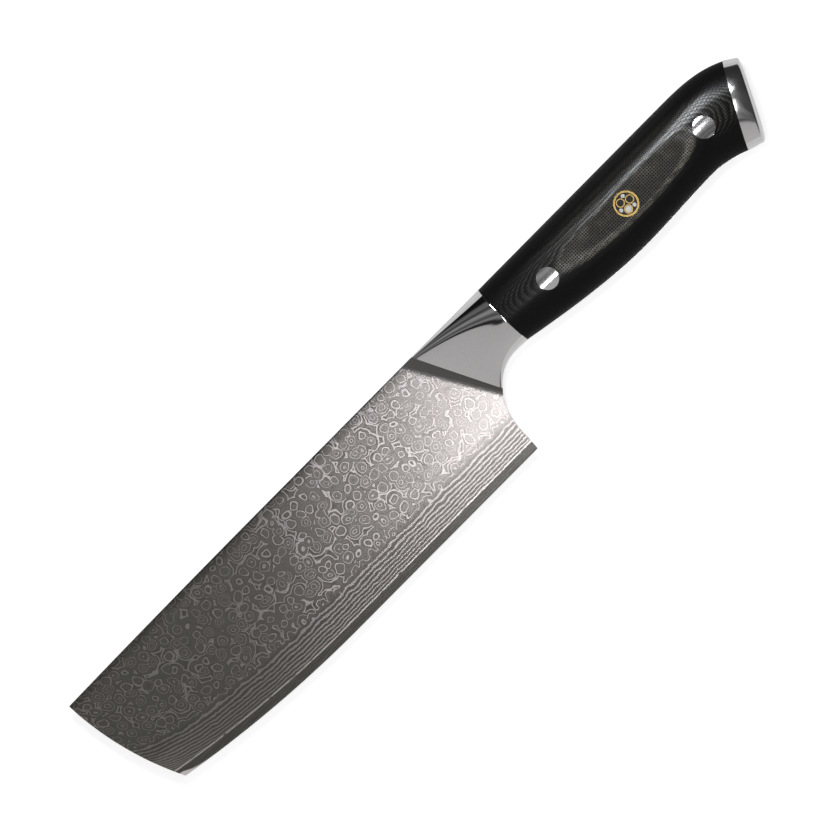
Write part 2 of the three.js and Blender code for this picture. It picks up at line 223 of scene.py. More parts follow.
def colour(name, description, default):
    """A linear colour."""
    return FloatVectorProperty(
        name=name, description=description, default=default, size=3, min=0, max=1, subtype="COLOR"
    )


def count(name, description, default):
    """A number of cells or facets."""
    return IntProperty(name=name, description=description, default=default, min=4)


class BladeLooks(PropertyGroup):
    """Pattern and colours of the laminated blade"""

    drop_pitch: length("Drop pitch", "Distance between the middles of the raindrop rings", 4.5 * MM)
    layer_rows: share("Layer rows", "Layers that the bevel cuts through", 8.6, 30)
    dark_layer: colour("Dark layer", "Steel that the acid darkens", (0.206, 0.194, 0.169))
    bright_layer: colour("Bright layer", "Steel that stays bright in the acid", (0.64, 0.583, 0.572))
    bare_core: colour("Bare core", "Ground steel along the edge", (0.165, 0.158, 0.142))
    honed: colour("Hone", "Sharpened steel at the tip's lower corner", (0.78, 0.73, 0.71))
    etched: colour("Etched band", "Matt band in front of the bolster", (0.075, 0.068, 0.062))
    dark_roughness: share("Dark roughness", "Roughness of the dark layers", 0.215)
    bright_roughness: share("Bright roughness", "Roughness of the bright layers", 0.28)


class GripLooks(PropertyGroup):
    """Weave and colours of the laminate scales"""

    yarn_pitch: length("Yarn pitch", "Distance between neighbouring yarns of the weave", 0.85 * MM)
    ply: length("Ply", "Thickness of one woven layer", 0.18 * MM)
    black: colour("Black", "Dyed resin between the yarns", (0.005, 0.005, 0.0054))
    yarn: colour("Yarn", "Glass yarn that shows through the resin", (0.2, 0.182, 0.148))
    roughness: share("Roughness", "Roughness of the sanded surface", 0.22)
    gloss: share("Gloss", "Specular level of the resin", 0.04)


class MetalLooks(PropertyGroup):
    """Colours of the polished metals and the resin"""

    steel: colour("Steel", "Polished bolster, cap and rivets", (0.58, 0.57, 0.565))
    steel_roughness: share("Steel roughness", "Roughness of the mirror polish", 0.06)
    rivet_roughness: share("Rivet roughness", "Roughness of the rivets' ground heads", 0.11)
    brass: colour("Brass", "Tubes of the mosaic pin", (0.25, 0.173, 0.059))
    silver: colour("Nickel silver", "Rods of the mosaic pin", (0.23, 0.225, 0.218))
    resin: colour("Resin", "Filler of the mosaic pin", (0.006, 0.006, 0.006))


class MeshSizes(PropertyGroup):
    """Cells of the fine meshes"""

    blade_columns: count("Blade columns", "Cells along the blade", 220)
    bevel_rows: count("Bevel rows", "Cells up the ground bevel", 20)
    strip_rows: count("Strip rows", "Cells up the bare strip of the core", 26)
    face_rows: count("Face rows", "Cells up each of the two stretches of the blade's face", 24)
    turn_cells: count("Turn cells", "Cells round the bolster and the cap", 192)
    plunge_rings: count("Plunge rings", "Rings of the bolster's plunge", 12)
    flare_rings: count("Flare rings", "Rings of the bolster's flare", 96)
    ease_rings: count("Ease rings", "Rings of the eased edge behind the flare", 8)
    cap_rings: count("Cap rings", "Rings of the cap's rounding", 32)
    hole_cells: count("Hole cells", "Cells along one side of the patch round a pin", 20)
    patch_rings: count("Patch rings", "Rings of the patch round a pin", 6)
    scale_cells: count("Scale cells", "Cells between the patches and beside them", 24)
    pin_cells: count("Pin cells", "Facets round a pin", 64)


class StageLooks(PropertyGroup):
    """Camera, floor and lamps"""

    lens: FloatProperty(name="Lens", description="Focal length", default=500, subtype="DISTANCE_CAMERA")
    across: length("Across", "Width of the view at the knife's mid-plane", 285.7 * MM)
    lean: angle("Lean", "Lean of the camera towards the butt", 6.5)
    turn: angle("Turn", "Turn of the knife in the view", 45.29)
    floor: colour("Floor", "Pale floor", (0.6, 0.6, 0.6))
    glow: share("Glow", "Part of the floor's white that doesn't come from the lamps", 0.72)
    key_power: share("Key power", "Watts of the strip lamp over the grip", 0.31, 100)
    key_turn: angle("Key turn", "Turn of the strip lamp out of the knife's length", 10.4)
    key_tint: colour("Key tint", "Colour of the strip lamp", (0.94, 0.95, 1.0))
    softbox_power: share("Softbox power", "Watts of the softbox beyond the grip's back", 2.4, 100)
    softbox_tint: colour("Softbox tint", "Colour of the softbox", (0.93, 0.97, 1.0))
    card: share("Card", "Brightness of the pale card where it begins", 0.58)
    card_angle: angle("Card angle", "Tilt from straight up at which the card begins", 14.3)


class KnifeSettings(PropertyGroup):
    """All settings of the knife"""

    blade: PointerProperty(type=BladeLooks)
    grip: PointerProperty(type=GripLooks)
    metal: PointerProperty(type=MetalLooks)
    mesh: PointerProperty(type=MeshSizes)
    stage: PointerProperty(type=StageLooks)


# Lines and surfaces
def lerp(start, end, part):
    """The value a part of the way from start to end."""
    return start + (end - start) * part


def smooth_line(place, *stations):
    """A cubic between each two stations of (place, value, slope), with the slopes kept at the stations."""
    places, values, slopes = np.array(stations, float).T
    place = np.asarray(place, float)
    first = np.clip(np.searchsorted(places, place, side="right") - 1, 0, len(places) - 2)
    span = places[first + 1] - places[first]
    t = (place - places[first]) / span
    rise = t * t * (3 - 2 * t)
    bend = slopes[first] * t * (1 - t) ** 2 + slopes[first + 1] * t * t * (t - 1)
    return lerp(values[first], values[first + 1], rise) + span * bend


def spine_y(x):
    """Straight spine that falls as a parabola towards the tip."""
    return -SPINE_FALL * np.maximum(0, (TIP_X + SPINE_FALL_LENGTH - x) / SPINE_FALL_LENGTH) ** 2


def edge_y(x):
    """Straight edge that rises on an arc towards the tip."""
    sweep = np.maximum(0, SWEEP_X - x)
    return -BLADE_DEPTH + EDGE_RADIUS - np.sqrt(EDGE_RADIUS**2 - sweep**2)


def tip_x(y):
    """Front edge of the blade: a cubic from the lower tip corner up to the upper one."""
    lower = (edge_y(TIP_X + TIP_RAKE), TIP_X + TIP_RAKE, -TIP_LOWER_LEAN)
    return smooth_line(y, lower, (-SPINE_FALL, TIP_X, -TIP_UPPER_LEAN))


def back_x(y):
    """Back edge of the blade: a cubic from the heel to the finger notch, then the straight weld."""
    heel = (-BLADE_DEPTH, HEEL_X, HEEL_LEAN)
    curve = smooth_line(y, heel, (-WELD_DEPTH, WELD_BOTTOM_X, 1 / NOTCH_SLOPE))
    weld = lerp(WELD_TOP_X, WELD_BOTTOM_X, -y / WELD_DEPTH)
    return np.where(y < -WELD_DEPTH, curve, weld) - WELD_GAP


def notch_y(x):
    """Underside of the bolster: a cubic from the weld to the front of the scales."""
    weld = (WELD_BOTTOM_X, -WELD_DEPTH, NOTCH_SLOPE)
    return smooth_line(x, weld, (0, -SHOULDER_DEPTH, SHOULDER_SLOPE))


def back_y(x):
    """Back of the grip: straight, then a cubic that falls to the cap."""
    return smooth_line(x, (0, 0, 0), (BACK_STRAIGHT, 0, 0), (*JOINT_TOP, JOINT_TOP_SLOPE))


def under_y(x):
    """Underside of the grip: cubics from the shoulder over the belly and the waist to the cap."""
    shoulder = (0, -SHOULDER_DEPTH, BELLY_SLOPE)
    return smooth_line(x, shoulder, (*BELLY, 0), (*WAIST, 0), (*JOINT_BOTTOM, JOINT_BOTTOM_SLOPE))


def side_z(x):
    """Half width of the grip before it is faced: cubics from the shoulder over the crown to the cap."""
    shoulder = (0, SHOULDER_HALF, SHOULDER_SIDE_SLOPE)
    crown = (*CROWN_FRONT, CROWN_FRONT_SLOPE), (*CROWN_REAR, CROWN_REAR_SLOPE)
    return smooth_line(x, shoulder, *crown, (JOINT_TOP[0], JOINT_HALF, JOINT_SIDE_SLOPE))


def soft_min(value, limit, width):
    """The smaller of two values, rounded over a width where they cross."""
    part = np.clip(0.5 + 0.5 * (limit - value) / width, 0, 1)
    return lerp(limit, value, part) - width * part * (1 - part)


def grip_surface(along, drop):
    """The grip's left side over two shares: along it, and down from its back to its underside.

    Each section is a superellipse between the back and the underside, faced flat where it is too wide.
    """
    top_x = along * JOINT_TOP[0]
    bottom_x = along * JOINT_BOTTOM[0]
    x = lerp(top_x, bottom_x, drop)
    y = lerp(back_y(top_x), under_y(bottom_x), drop)
    out = (1 - np.abs(1 - 2 * drop) ** ROUNDNESS) ** (1 / ROUNDNESS)
    return x, y, soft_min(side_z((top_x + bottom_x) / 2) * out, GRIP_HALF, FLAT_BLEND)


def grip_shares(x, y):
    """The two shares of grip_surface at a point, found by turns from each other."""
    along = x / JOINT_REACH
    for _ in range(SOLVE_PASSES):
        top = back_y(along * JOINT_TOP[0])
        bottom = under_y(along * JOINT_BOTTOM[0])
        drop = (top - y) / (top - bottom)
        along = x / lerp(JOINT_TOP[0], JOINT_BOTTOM[0], drop)
    return along, drop


def grip_side(x, y):
    """Half thickness of the grip at a point."""
    return grip_surface(*grip_shares(x, y))[2]


def section_rings(top, bottom, half, roundness, cells):
    """Rings of points: each a superellipse between a top and a bottom point, seen at even bearings."""
    bearing = np.linspace(0, 2 * np.pi, cells, endpoint=False)
    roundness = roundness[:, None]
    size = np.abs(np.cos(bearing)) ** roundness + np.abs(np.sin(bearing)) ** roundness
    reach = size ** (-1 / roundness)
    down = (1 - reach * np.cos(bearing)) / 2
    x = lerp(top[0][:, None], bottom[0][:, None], down)
    y = lerp(top[1][:, None], bottom[1][:, None], down)
    return np.stack((x, y, half[:, None] * reach * np.sin(bearing)), axis=-1)


def smooth(part):
    """A share from 0 to 1 that starts and ends level."""
    part = np.clip(part, 0, 1)
    return part * part * (3 - 2 * part)


def clad_half(x, level):
    """Half thickness of the clad blade: a bevel up to the flat face, with a lower shoulder at the tip."""
    shoulder = lerp(TIP_BEVEL, BEVEL_LEVEL, smooth((x - TIP_X) / TIP_BEVEL_REACH))
    rise = np.clip((level - BARE_LEVEL) / (shoulder - BARE_LEVEL), 0, 1)
    return lerp(CLADDING_INNER + FEATHER, BLADE_HALF, rise)


def core_halves(x, level):
    """Half thickness of the core as a slim wedge, and under the hone, which widens to the tip's corner."""
    wedge = np.minimum(CORE_HALF, CORE_HALF + WEDGE_SLOPE * (level - BARE_LEVEL))
    slope = lerp(TIP_HONE_SLOPE, HONE_SLOPE, smooth((x - TIP_X - TIP_RAKE) / TIP_HONE_REACH))
    return wedge, EDGE_HALF + slope * level


# Grids of cells
def grid_quads(index, closed_rows=False, closed_columns=False):
    """Four corners of each cell of a grid of vertex numbers, wrapped round where a direction is closed."""
    if closed_rows:
        index = np.concatenate((index, index[:1]), axis=0)
    if closed_columns:
        index = np.concatenate((index, index[:, :1]), axis=1)
    corners = (index[:-1, :-1], index[:-1, 1:], index[1:, 1:], index[1:, :-1])
    return np.stack(corners, axis=-1).reshape(-1, 4)


def numbered(rows, columns, start=0):
    """Vertex numbers of a grid."""
    return start + np.arange(rows * columns).reshape(rows, columns)


def two_sheets(x, y, low, high, quads):
    """A closed plate: a sheet of cells at its high side, its copy at its low side, and walls at borders."""
    size = len(x)
    points = np.concatenate((np.stack((x, y, high), axis=-1), np.stack((x, y, low), axis=-1)))
    start = quads.ravel()
    end = np.roll(quads, -1, axis=1).ravel()
    border = ~np.isin(start * size + end, end * size + start)
    start, end = start[border], end[border]
    walls = np.stack((start, start + size, end + size, end), axis=-1)
    return points, np.concatenate((quads, quads[:, ::-1] + size, walls))


def closed_loft(rings):
    """A closed body through rings, with each end drawn in to the middle of its ring."""
    ends = [np.broadcast_to(ring.mean(axis=0), ring.shape)[None] for ring in (rings[0], rings[-1])]
    rings = np.concatenate((ends[0], rings, ends[1]))
    return rings.reshape(-1, 3), grid_quads(numbered(*rings.shape[:2]), closed_columns=True)


def blade_lattice(levels, parts, columns):
    """Rows that keep a level above the edge, then part the face up to the spine, from tip to back edge."""
    levels, parts = levels[:, None], parts[:, None]

    def row_y(x):
        """Height of each row at x."""
        return lerp(edge_y(x) + levels, spine_y(x), parts)

    front = np.full_like(levels, TIP_X)
    back = np.full_like(levels, HEEL_X)
    for _ in range(SOLVE_PASSES):
        front = tip_x(row_y(front))
        back = back_x(row_y(back))
    x = lerp(front, back, np.linspace(0, 1, columns + 1))
    return x, row_y(x)


def holed_lattice(edge_half, holes, sizes):
    """Shares of the grip's side with holes: even cells, and round each hole a patch from circle to square."""
    cells, patches, between = sizes.hole_cells, sizes.patch_rings, sizes.scale_cells
    centres = [(grip_shares(*map(np.asarray, place)), place, radius) for place, radius in holes]
    stops = [FIT_GAP / JOINT_TOP[0]]
    for (along, _), _, radius in centres:
        reach = PATCH_REACH * radius / JOINT_REACH
        stops += [float(along) - reach, float(along) + reach]
    stops.append(1.0)
    along = [np.array(stops[:1])]
    firsts = []
    for step, (start, end) in enumerate(zip(stops, stops[1:])):
        if step % 2:
            firsts.append(sum(map(len, along)) - 1)
        along.append(np.linspace(start, end, (cells if step % 2 else between) + 1)[1:])
    along = np.concatenate(along)[None]
    half = side_z(along * JOINT_REACH)
    rim = (1 - (1 - (edge_half / half) ** ROUNDNESS) ** (1 / ROUNDNESS)) / 2
    fall = np.linspace(0, 1, between + 1)[:, None] ** ROW_CROWDING
    band = np.linspace(PATCH_BOTTOM, PATCH_TOP, cells + 1)[1:-1, None] + 0 * along
    drop = np.concatenate((lerp(1 - rim, PATCH_BOTTOM, fall), band, lerp(rim, PATCH_TOP, fall)[::-1]))
    along = along + 0 * drop
    index = numbered(*drop.shape)
    keep = np.ones((drop.shape[0] - 1, drop.shape[1] - 1), bool)
    extra_along, extra_drop, quads = [along.ravel()], [drop.ravel()], []
    total = drop.size
    row, row_end = between, between + cells
    for first, (_, (x0, y0), radius) in zip(firsts, centres):
        last = first + cells
        keep[row:row_end, first:last] = False
        rim_index = np.concatenate((
            index[row, first:last], index[row:row_end, last],
            index[row_end, last:first:-1], index[row_end:row:-1, first],
        ))
        outer = np.stack((along.ravel()[rim_index], drop.ravel()[rim_index]))
        x, y, _ = grip_surface(*outer)
        bearing = np.arctan2(y - y0, x - x0)
        circle = np.stack(grip_shares(x0 + radius * np.cos(bearing), y0 + radius * np.sin(bearing)))
        rings = lerp(circle, outer, np.linspace(0, 1, patches + 1)[:-1, None, None])
        extra_along.append(rings[:, 0].ravel())
        extra_drop.append(rings[:, 1].ravel())
        ring_index = np.concatenate((numbered(patches, len(rim_index), total), rim_index[None]))
        quads.append(grid_quads(ring_index, closed_columns=True)[:, ::-1])
        total += rings[:, 0].size
    quads.append(grid_quads(index)[keep.ravel()])
    return np.concatenate(extra_along), np.concatenate(extra_drop), np.concatenate(quads)


def flush_pin(place, radii, ends, cells, closed=False, crown=0):
    """A turned body whose profile is a list of radii and of ends, each a factor and an offset.

    The factor times the grip's side, plus the offset, gives the height, so that +1 or -1 is flush with the
    left or the right side. A crown lets the side fall as a parabola towards the spine and the edge.
    """
    bearing = np.linspace(0, 2 * np.pi, cells, endpoint=False)
    radii = np.asarray(radii, float)[:, None]
    x = place[0] + radii * np.cos(bearing)
    y = place[1] + radii * np.sin(bearing)
    side = grip_side(x, y) - crown * ((y - place[1]) / radii.max()) ** 2
    ends = np.array(ends, float)
    z = ends[:, :1] * side + ends[:, 1:]
    points = np.stack((x, y, z), axis=-1)
    return points.reshape(-1, 3), grid_quads(numbered(*x.shape), closed_rows=closed, closed_columns=True)


# Making pieces
def make_piece(name, points, faces, material, nodes, cut=None, crease=30):
    """Puts a surface into a mesh, closes its seams and poles, and makes it stand for CAD nodes."""
    mesh = bpy.data.meshes.new(name)
    mesh.from_pydata(((ORIGIN + points) * MM).tolist(), [], faces.tolist())
    if cut is not None:
        corners = np.empty(len(mesh.loops), int)
        mesh.loops.foreach_get("vertex_index", corners)
        layer = mesh.uv_layers.new(name="cut")
        layer.data.foreach_set("uv", (cut[corners] * MM).ravel())
    shell = bmesh.new()
    shell.from_mesh(mesh)
    bmesh.ops.remove_doubles(shell, verts=shell.verts, dist=0.5 * MM * MM)
    bmesh.ops.recalc_face_normals(shell, faces=shell.faces)
    shell.to_mesh(mesh)
    shell.free()
    mesh.shade_smooth()
    mesh.set_sharp_from_angle(angle=math.radians(crease))
    mesh.materials.append(material)
    piece = bpy.data.objects.new(name, mesh)
    bpy.context.scene.collection.objects.link(piece)
    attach(piece, BODY)
    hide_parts(*nodes)
    return piece


def make_pair(names, points, faces, material, nodes, cut=None):
    """Makes a piece of the left side, and its mirror image in the mid-plane for the right."""
    make_piece(names[0], points, faces, material, nodes[:1], cut)
    make_piece(names[1], points * (1, 1, -1), faces[:, ::-1], material, nodes[1:], cut)


# Shader maths
class Wire:
    """A socket of a node tree. Arithmetic on it adds Math nodes, and node() adds any other kind."""

    def __init__(self, tree, socket=None):
        self.tree = tree
        self.socket = socket

    def node(self, kind, settings, sockets, output=0):
        """Adds a node with its settings, then the values or links of its sockets."""
        node = self.tree.nodes.new(kind)
        for key, value in settings.items():
            if key == "stops":
                self.set_stops(node.color_ramp.elements, value)
            else:
                setattr(node, key, value)
        for key, value in sockets.items():
            if isinstance(value, Wire):
                self.tree.links.new(value.socket, node.inputs[key])
            else:
                node.inputs[key].default_value = value
        return Wire(self.tree, node.outputs[output])

    @staticmethod
    def set_stops(ramp, stops):
        """Grey stops of a ramp, as pairs of place and level."""
        while len(ramp) < len(stops):
            ramp.new(1.0)
        for element, (place, level) in zip(ramp, stops):
            element.position = place
            element.color = (level, level, level, 1)

    def other(self, output):
        """Another output of the same node."""
        return Wire(self.tree, self.socket.node.outputs[output])

    def math(self, operation, *values):
        """A Math node on this value and others."""
        return self.node("ShaderNodeMath", {"operation": operation}, dict(enumerate((self, *values))))

    def __add__(self, value):
        return self.math("ADD", value)

    def __sub__(self, value):
        return self.math("SUBTRACT", value)

    def __rsub__(self, value):
        return self.node("ShaderNodeMath", {"operation": "SUBTRACT"}, {0: value, 1: self})

    def __mul__(self, value):
        return self.math("MULTIPLY", value)

    def __truediv__(self, value):
        return self.math("DIVIDE", value)

    __radd__ = __add__
    __rmul__ = __mul__

    def part(self, start, end, low=0.0, high=1.0, kind="SMOOTHSTEP"):
        """Maps start to end onto low to high with its ends held, smoothly unless the kind is LINEAR."""
        sockets = {"Value": self, "From Min": start, "From Max": end, "To Min": low, "To Max": high}
        return self.node("ShaderNodeMapRange", {"interpolation_type": kind, "clamp": True}, sockets)

    def ramp(self, stops):
        """A grey level that follows stops of place and level."""
        return self.node("ShaderNodeValToRGB", {"stops": stops}, {"Fac": self})

    def vector(self, operation, value):
        """A Vector Math node on this vector and another."""
        return self.node("ShaderNodeVectorMath", {"operation": operation}, {0: self, 1: value})

    def scaled(self, factor):
        """A vector times a number."""
        return self.node("ShaderNodeVectorMath", {"operation": "SCALE"}, {0: self, "Scale": factor})

    def along(self, way):
        """How far a vector reaches along a unit vector."""
        sockets = {0: self, 1: way}
        return self.node("ShaderNodeVectorMath", {"operation": "DOT_PRODUCT"}, sockets, output="Value")

    def axes(self):
        """The three numbers of a vector."""
        x = self.node("ShaderNodeSeparateXYZ", {}, {"Vector": self})
        return x, x.other("Y"), x.other("Z")

    def from_origin(self):
        """The three numbers of a place in the working frame."""
        return self.vector("SUBTRACT", tuple(ORIGIN)).axes()

    def noise(self, scale, detail=2.0, rough=0.5):
        """Noise at this place, from 0 to 1 about 0.5."""
        sockets = {"Vector": self, "Scale": scale, "Detail": detail, "Roughness": rough}
        return self.node("ShaderNodeTexNoise", {}, sockets)

    def swayed(self, scale, reach):
        """This place, shifted by smooth noise over a reach."""
        shift = self.noise(scale, 1.0).other("Color").vector("SUBTRACT", (0.5, 0.5, 0.5))
        return self.vector("ADD", shift.scaled(reach))

    def between(self, low, high):
        """A colour this far from low to high."""
        sockets = {0: self, 6: as_colour(low), 7: as_colour(high)}
        return self.node("ShaderNodeMix", {"data_type": "RGBA"}, sockets, output=2)


def as_colour(value):
    """Four numbers of a colour property, or a link as it is."""
    return value if isinstance(value, Wire) else (*value, 1)


def shaded(tint, factor):
    """A colour made darker or lighter."""
    return [min(1.0, factor * level) for level in tint]


class Finish:
    """A material with one Principled shader."""

    def __init__(self, name, **sockets):
        self.material = bpy.data.materials.new(name)
        self.material.use_nodes = True
        self.tree = self.material.node_tree
        self.wire = Wire(self.tree)
        self.shader = next(node for node in self.tree.nodes if node.type == "BSDF_PRINCIPLED")
        self.set(**sockets)

    def set(self, **sockets):
        """Values or links of the shader's sockets, named with _ for a space."""
        for key, value in sockets.items():
            socket = self.shader.inputs[key.replace("_", " ")]
            if isinstance(value, Wire):
                self.tree.links.new(value.socket, socket)
            elif socket.type == "RGBA":
                socket.default_value = as_colour(value)
            else:
                socket.default_value = value

    def place(self):
        """The point of the surface in millimetres."""
        return self.wire.node("ShaderNodeTexCoord", {}, {}, output="Object").scaled(1 / MM)

    def cut(self):
        """The two numbers of the piece's own map, in millimetres."""
        first, second, _ = self.wire.node("ShaderNodeUVMap", {"uv_map": "cut"}, {}).scaled(1 / MM).axes()
        return first, second

    def bump(self, height):
        """A normal that follows a height in millimetres."""
        return self.wire.node("ShaderNodeBump", {}, {"Strength": 1.0, "Distance": MM, "Height": height})


# Finishes
def ahead_of_weld(place):
    """Distance in front of the weld between blade and bolster, in millimetres."""
    run = np.array((WELD_BOTTOM_X - WELD_TOP_X, -WELD_DEPTH))
    normal = np.array((run[1], -run[0])) / np.hypot(*run)
    return place.along((*normal, 0)) - float(normal @ (ORIGIN[:2] + (WELD_TOP_X, 0)))


def pattern_steel(looks):
    """Layered steel: bright and dark layers, bulged up by drops and cut flat, or slanting on the bevel.

    The layer at a point is a slow drift, plus a dome round each middle of a Voronoi cell, plus a count of
    rows that grows towards the edge. Its fraction picks the tone, so that a dome shows as rings and a row
    as a line. The contrast falls towards the tip; towards the heel the face's tone is drawn to mid grey, a
    painted glare that washes out the pattern. A line along the cladding's lip is a painted highlight. The
    spine's edge and the band are dark.
    """
    finish = Finish("pattern_steel", Metallic=1.0)
    place = finish.place()
    x, y, _ = place.from_origin()
    swung, level = finish.cut()
    spot = place.node("ShaderNodeCombineXYZ", {}, {"X": place.axes()[0], "Y": swung})
    # Domes on the face and rows on the bevel
    pitch = looks.drop_pitch / MM
    cells = place.node(
        "ShaderNodeTexVoronoi", {"voronoi_dimensions": "2D"},
        {"Vector": spot.swayed(0.27, 0.5 * pitch), "Scale": 1 / pitch, "Randomness": 0.7},
    )
    chance = cells.node("ShaderNodeSeparateColor", {}, {"Color": cells.other("Color")})
    dome = (1 - cells / (0.46 + 0.14 * chance)).part(0, 1) * (0.5 + 1.5 * chance.other("Green"))
    corner = cells.part(0.46, 0.8) * 0.5
    face = swung.part(*RING_LEVELS)
    drift = (spot.noise(0.13, 2.0) - 0.5) * 1.2
    ripple = (spot.noise(0.4, 2.0) - 0.5) * 0.75
    depth = ((ROWS_TOP - swung) / (ROWS_TOP - BARE_LEVEL)).math("MAXIMUM", 0.0)
    rows = depth * (0.68 + 0.32 * depth) * looks.layer_rows
    layer = 0.2 + drift + ripple * (1 - 0.7 * face) + (dome + corner) * face + rows
    # Tone of the layer at its fraction
    phase = layer.math("FRACT")
    rings = phase.ramp((
        (0.0, 0.17), (0.26, 0.2), (0.33, 0.0), (0.38, 0.0), (0.45, 1.0), (0.57, 1.0), (0.64, 0.0),
        (0.7, 0.0), (0.8, 0.24), (1.0, 0.17),
    ))
    lines = phase.ramp((
        (0.0, 0.0), (0.33, 0.0), (0.41, 0.86), (0.74, 0.86), (0.82, 0.0), (1.0, 0.0),
    ))
    tone = face.node("ShaderNodeRGBToBW", {}, {"Color": face.between(lines, rings)})
    grains = (spot.noise(1.8, 2.0, 0.7) - 0.5) * 0.14
    contrast = (x * 0.8 - y * 0.6).part(-99.1, -59.1, 0.52, 1.0)
    gain = x.part(-125, -60, 1.0, 0.8)
    tone = (tone.math("POWER", gain) + grains) * contrast
    # Painted glare: towards the heel the face's tone is drawn to mid grey, which washes out the pattern
    painted_glare = face * x.part(-60, -36, 0.0, 0.4)
    tone = tone * (1 - painted_glare) + 0.5 * painted_glare
    # Etched band along the weld and dark edge of the spine
    feather = ahead_of_weld(place) + spot.noise(1.7, 4.0, 0.8) * 5.0
    veil = feather.part(4.4, 3.1)
    bite = y.part(-4.0, -1.0, 1.0, 0.62) * y.part(-0.8, -0.4, 1.0, 0.35)
    # Painted highlight along the lip where the cladding runs out on the core: a lighter copy of the bright
    # layer
    lip = level.part(BARE_LEVEL + 0.6, BARE_LEVEL + 0.3) * spot.noise(0.35, 1.0).part(0.3, 0.45)
    layers = tone.between(looks.dark_layer, looks.bright_layer)
    metal = lip.between(layers, shaded(looks.bright_layer, 1.4))
    shade = bite.between((0, 0, 0), metal)
    finish.set(
        Base_Color=veil.between(shade, looks.etched),
        Metallic=1 - veil,
        Roughness=tone.part(0, 1, looks.dark_roughness, looks.bright_roughness, kind="LINEAR") + veil * 0.35,
    )
    return finish.material


def core_steel(looks):
    """Plain ground steel with fine scratches along the blade, and a bright hone at the tip.

    The core's map holds how deep the hone has cut, and a share that grows towards the tip.
    """
    finish = Finish("core_steel", Metallic=1.0)
    scratch = finish.place().vector("MULTIPLY", (0.12, 6.0, 1.0)).noise(1.0, 4.0, 0.6)
    depth, near_tip = finish.cut()
    honed = depth.part(0.0, 0.012) * near_tip
    ground = scratch.part(0.3, 0.7).between(shaded(looks.bare_core, 0.88), shaded(looks.bare_core, 1.12))
    finish.set(
        Base_Color=honed.between(ground, looks.honed),
        Roughness=scratch.part(0.2, 0.8, 0.2, 0.3) * (1 - 0.6 * honed),
    )
    return finish.material


def polished_steel(name, looks, polish):
    """Bright steel with faint wheel marks."""
    finish = Finish(name, Metallic=1.0)
    marks = finish.place().vector("MULTIPLY", (0.5, 3.0, 3.0)).noise(1.0, 5.0, 0.6)
    finish.set(
        Base_Color=marks.part(0.3, 0.7).between(shaded(looks.steel, 0.95), looks.steel),
        Roughness=marks.part(0.3, 0.75, 0.9 * polish, 1.2 * polish),
    )
    return finish.material


def etched_steel(looks):
    """Matt etched steel of the plunge."""
    finish = Finish("etched_steel", Specular_IOR_Level=0.2)
    grains = finish.place().noise(3.0, 4.0, 0.7)
    finish.set(
        Base_Color=grains.part(0.3, 0.7).between(shaded(looks.etched, 0.88), shaded(looks.etched, 1.12)),
        Roughness=grains.part(0.2, 0.8, 0.5, 0.65),
    )
    return finish.material


def black_laminate(looks):
    """Woven glass in black resin: plies stacked outwards, which the rounded side cuts into low steps.

    The depth's fraction of a ply gives the step, which ends in a steep lip, and two cosines give the net of
    yarns. Yarns show on the facet and on the steps of the rear. On the steps of the upper side, dimmer
    towards the front, the yarn colour is partly bared yarn and partly a painted glint, as the lower side's
    steps get none; along the facet's lower border it is a painted highlight in patches.
    The rounded side has a smoother coat beside the facet and on the upper side.
    """
    finish = Finish("black_laminate", IOR=1.5, Specular_IOR_Level=looks.gloss, Coat_Roughness=0.17)
    place = finish.place()
    side = place.from_origin()[2].math("ABSOLUTE")
    swayed = place.swayed(0.15, 0.25)
    x, y, depth = swayed.from_origin()
    # Plies are counted outwards, with the facet in the middle of one, and their nets don't line up
    ply = (depth.math("ABSOLUTE") - GRIP_HALF) / (looks.ply / MM) + 60.5
    layer = ply.math("FLOOR")
    turn = 2 * math.pi / (looks.yarn_pitch / MM)
    warp, weft, _ = swayed.axes()
    net = ((warp + layer * 0.41) * turn).math("COSINE") + ((weft + layer * 0.29) * turn).math("COSINE")
    yarn = net.part(-0.7, 0.1)
    step = ply - layer
    tread = step.part(0.7, 0.0, kind="LINEAR").math("MAXIMUM", step.part(0.7, 1.0))
    grit = place.noise(1.6, 3.0, 0.7).part(0.3, 0.75, 0.45, 1.0)
    # Where yarns show; the upper steps carry a painted glint and the facet's lower border a painted highlight
    crown = side.part(GRIP_HALF - 0.24, GRIP_HALF - 0.08)
    upper = y.part(-16.5, -12.5)
    front = x.part(12, 36, 0.45, 1.0)
    rear = y.part(-24, -17) * y.part(-9, -11.5) * x.part(92, 98)
    # Yarn on the steps, lit on the upper side only, where it is partly a painted glint
    bared_steps_and_glints = step.part(0.3, 0.8) * (side.part(7.0, 8.5) * upper * front).math("MAXIMUM", rear)
    round_side = side.part(GRIP_HALF - 0.002, GRIP_HALF - 0.03)
    # Painted highlight: yarn colour in patches along the facet's lower border, below the grip's middle
    rim = side.part(9.0, 9.2) * round_side * (1 - upper)
    rim = rim * place.noise(0.35, 2.0).part(0.38, 0.62, 0.35, 1.0)
    tone = yarn * grit * (0.015 + 0.35 * bared_steps_and_glints + 0.34 * crown + 0.72 * rim)
    # Where the coat lies
    back = y.part(-4.0, -7.5, 0.15, 1.0)
    lit = (0.38 * side.part(8.5, 8.95)).math("MAXIMUM", upper * back * side.part(5.4, 6.8))
    sheen = round_side * lit * (0.5 + 0.5 * step.part(0.3, 0.8))
    finish.set(
        Base_Color=tone.between(looks.black, looks.yarn),
        Roughness=yarn.part(0, 1, looks.roughness + 0.1, looks.roughness),
        Coat_Weight=sheen * (0.3 + 0.7 * yarn) * (0.3 + 0.7 * grit),
        Normal=finish.bump(tread * (0.16 * looks.ply / MM) + yarn * grit * 0.01),
    )
    return finish.material


